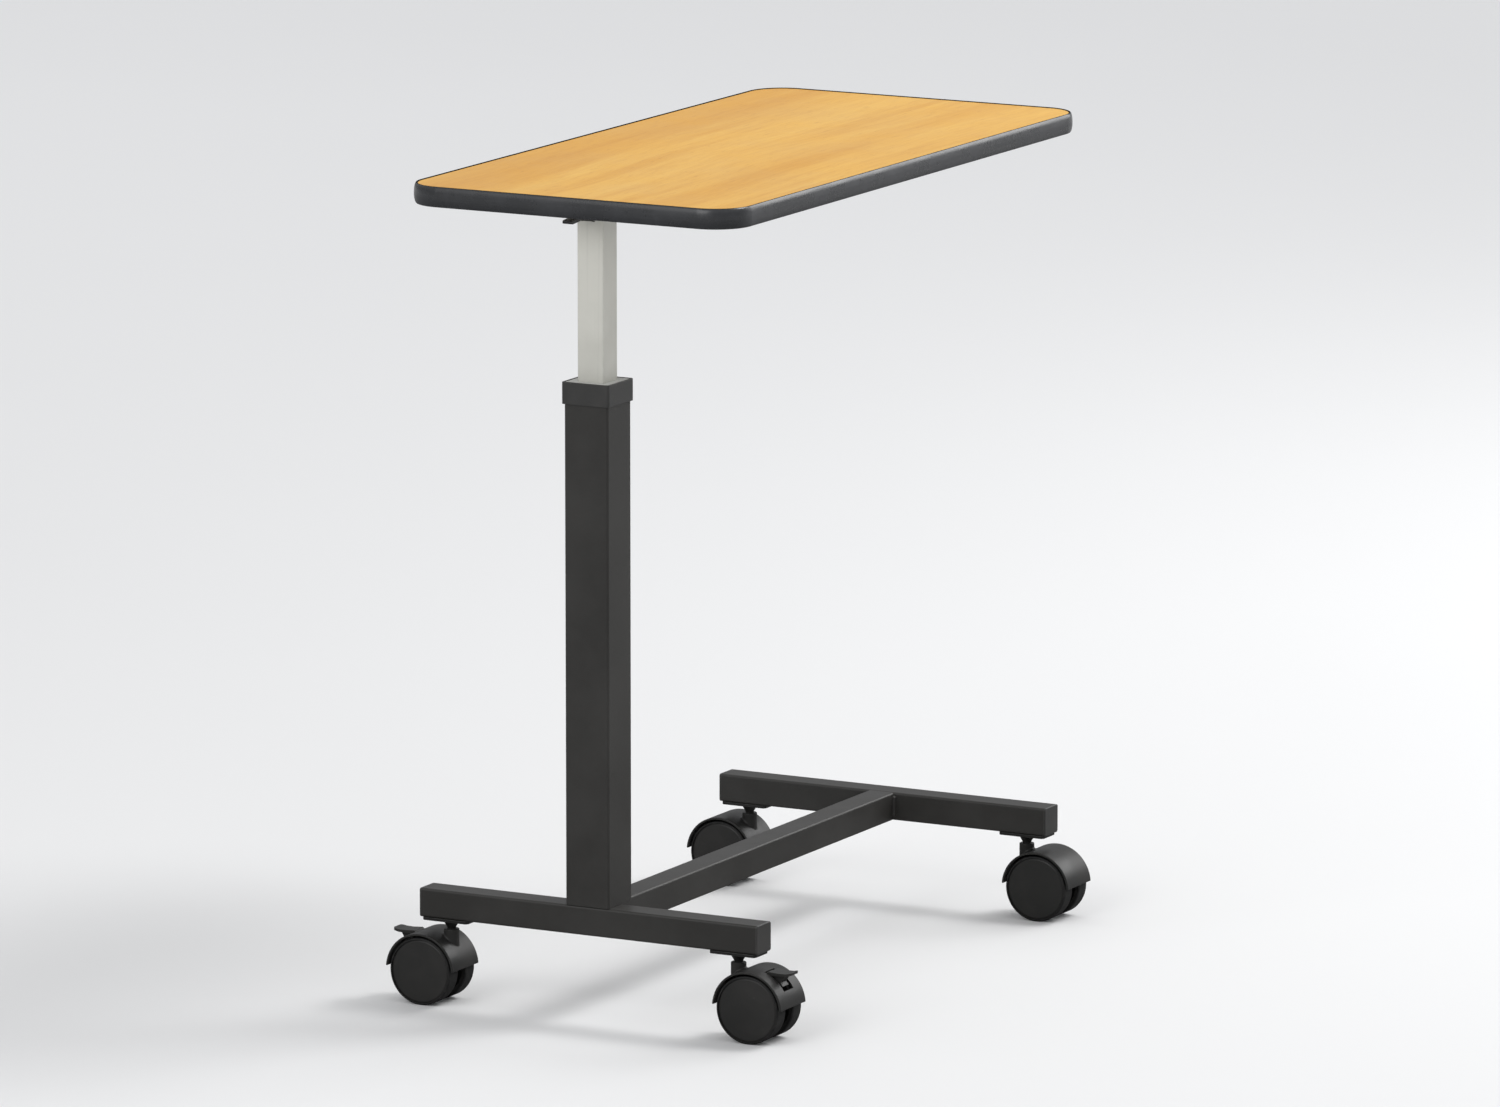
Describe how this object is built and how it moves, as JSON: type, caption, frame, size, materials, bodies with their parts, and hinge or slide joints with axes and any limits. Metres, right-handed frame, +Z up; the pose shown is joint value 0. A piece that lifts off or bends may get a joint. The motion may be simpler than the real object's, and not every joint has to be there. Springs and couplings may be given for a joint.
{
  "type": "overbed table",
  "caption": "Overbed table: rounded rectangular top carried at one end by a telescopic square column on an H-shaped base with swivel casters.",
  "frame": {"origin": "on the floor, below the middle of the top", "axes": "+Z up; +Y along the top's long side, away from the column's end; +X across the top"},
  "size_m": [0.46, 0.788, 0.8518],
  "materials": {
    "wood_laminate": "satin printed laminate with a straight maple grain along the top",
    "particle_board": "raw particle board",
    "backing_sheet": "matt off-white backing laminate",
    "bumper_vinyl": "satin charcoal vinyl",
    "black_powder_coat": "satin charcoal powder coat, fine texture",
    "grey_tube": "satin light grey powder coat",
    "zinc_steel": "zinc plated",
    "chromed_rod": "polished",
    "black_steel": "satin black",
    "pale_nylon": "matt light grey nylon",
    "black_nylon": "satin black moulded nylon",
    "black_vinyl": "dipped satin vinyl",
    "caster_nylon": "satin black moulded nylon",
    "caster_tread": "matt soft tread"
  },
  "bodies": {
    "base": {"near_crossbar": "black_powder_coat", "far_crossbar": "black_powder_coat", "centre_beam": "black_powder_coat", "outer_column": "black_powder_coat", "column_bushing": "pale_nylon", "column_collar": "black_nylon", "crossbar_caps": "black_nylon", "gas_cylinder": "black_powder_coat", "gas_gland": "black_nylon", "column_foot": "zinc_steel", "foot_bolt": "zinc_steel", "caster_plates": "black_steel", "caster_stems": "black_steel", "plate_screws": "black_steel", "stem_clips": "zinc_steel"},
    "table_top": {"tabletop_core": "particle_board", "top_laminate": "wood_laminate", "backing_laminate": "backing_sheet", "edge_bumper": "bumper_vinyl", "support_channel": "black_powder_coat", "channel_screws": "zinc_steel", "inner_tube": "grey_tube", "lower_glide": "black_nylon", "rod_head": "zinc_steel", "rod_nut": "zinc_steel", "gas_rod": "chromed_rod", "gas_piston": "zinc_steel", "lever_ears": "black_powder_coat", "lever_pin": "zinc_steel"},
    "lever": {"release_lever": "black_powder_coat", "lever_grip": "black_vinyl"},
    "valve_pin": {"release_pin": "zinc_steel"},
    "near_left_caster": {"near_left_hood": "caster_nylon", "near_left_axle": "zinc_steel"},
    "near_left_front_wheel_body": {"near_left_front_wheel": "caster_nylon", "near_left_front_tyre": "caster_tread"},
    "near_left_back_wheel_body": {"near_left_back_wheel": "caster_nylon", "near_left_back_tyre": "caster_tread"},
    "near_left_pedal_body": {"near_left_brake_pedal": "caster_nylon"},
    "near_right_caster": {"near_right_hood": "caster_nylon", "near_right_axle": "zinc_steel"},
    "near_right_front_wheel_body": {"near_right_front_wheel": "caster_nylon", "near_right_front_tyre": "caster_tread"},
    "near_right_back_wheel_body": {"near_right_back_wheel": "caster_nylon", "near_right_back_tyre": "caster_tread"},
    "near_right_pedal_body": {"near_right_brake_pedal": "caster_nylon"},
    "far_left_caster": {"far_left_hood": "caster_nylon", "far_left_axle": "zinc_steel"},
    "far_left_front_wheel_body": {"far_left_front_wheel": "caster_nylon", "far_left_front_tyre": "caster_tread"},
    "far_left_back_wheel_body": {"far_left_back_wheel": "caster_nylon", "far_left_back_tyre": "caster_tread"},
    "far_right_caster": {"far_right_hood": "caster_nylon", "far_right_axle": "zinc_steel"},
    "far_right_front_wheel_body": {"far_right_front_wheel": "caster_nylon", "far_right_front_tyre": "caster_tread"},
    "far_right_back_wheel_body": {"far_right_back_wheel": "caster_nylon", "far_right_back_tyre": "caster_tread"}
  },
  "joints": [
    {"name": "height_slide", "type": "slide", "parent": "base", "child": "table_top", "axis": [0, 0, 1], "range_m": [-0.15, 0.2], "stiffness_N_per_m": 400, "springref_m": 0.1574},
    {"name": "lever_hinge", "type": "hinge", "parent": "table_top", "child": "lever", "pos_m": [0, -0.346, 0.82475], "axis": [-1, 0, 0], "range_deg": [0, 5]},
    {"name": "valve_pin_slide", "type": "slide", "parent": "table_top", "child": "valve_pin", "axis": [0, 0, -1], "range_m": [0, 0.0018]},
    {"name": "near_left_swivel", "type": "hinge", "parent": "base", "child": "near_left_caster", "pos_m": [-0.166, -0.3365, 0.08], "axis": [0, 0, 1], "continuous": true},
    {"name": "near_left_front_spin", "type": "hinge", "parent": "near_left_caster", "child": "near_left_front_wheel_body", "pos_m": [-0.189, -0.3365, 0.035], "axis": [0, 1, 0], "continuous": true},
    {"name": "near_left_back_spin", "type": "hinge", "parent": "near_left_caster", "child": "near_left_back_wheel_body", "pos_m": [-0.189, -0.3365, 0.035], "axis": [0, 1, 0], "continuous": true},
    {"name": "near_left_brake", "type": "hinge", "parent": "near_left_caster", "child": "near_left_pedal_body", "pos_m": [-0.201, -0.3365, 0.057], "axis": [0, -1, 0], "range_deg": [0, 10]},
    {"name": "near_right_swivel", "type": "hinge", "parent": "base", "child": "near_right_caster", "pos_m": [0.166, -0.3365, 0.08], "axis": [0, 0, 1], "continuous": true},
    {"name": "near_right_front_spin", "type": "hinge", "parent": "near_right_caster", "child": "near_right_front_wheel_body", "pos_m": [0.189, -0.3365, 0.035], "axis": [0, 1, 0], "continuous": true},
    {"name": "near_right_back_spin", "type": "hinge", "parent": "near_right_caster", "child": "near_right_back_wheel_body", "pos_m": [0.189, -0.3365, 0.035], "axis": [0, 1, 0], "continuous": true},
    {"name": "near_right_brake", "type": "hinge", "parent": "near_right_caster", "child": "near_right_pedal_body", "pos_m": [0.201, -0.3365, 0.057], "axis": [0, 1, 0], "range_deg": [0, 10]},
    {"name": "far_left_swivel", "type": "hinge", "parent": "base", "child": "far_left_caster", "pos_m": [-0.166, 0.3115, 0.08], "axis": [0, 0, 1], "continuous": true},
    {"name": "far_left_front_spin", "type": "hinge", "parent": "far_left_caster", "child": "far_left_front_wheel_body", "pos_m": [-0.189, 0.3115, 0.035], "axis": [0, 1, 0], "continuous": true},
    {"name": "far_left_back_spin", "type": "hinge", "parent": "far_left_caster", "child": "far_left_back_wheel_body", "pos_m": [-0.189, 0.3115, 0.035], "axis": [0, 1, 0], "continuous": true},
    {"name": "far_right_swivel", "type": "hinge", "parent": "base", "child": "far_right_caster", "pos_m": [0.166, 0.3115, 0.08], "axis": [0, 0, 1], "continuous": true},
    {"name": "far_right_front_spin", "type": "hinge", "parent": "far_right_caster", "child": "far_right_front_wheel_body", "pos_m": [0.189, 0.3115, 0.035], "axis": [0, 1, 0], "continuous": true},
    {"name": "far_right_back_spin", "type": "hinge", "parent": "far_right_caster", "child": "far_right_back_wheel_body", "pos_m": [0.189, 0.3115, 0.035], "axis": [0, 1, 0], "continuous": true}
  ],
  "couplings": [
    {"joint": "valve_pin_slide", "follows": "lever_hinge", "m_per_rad": 0.0195}
  ]
}
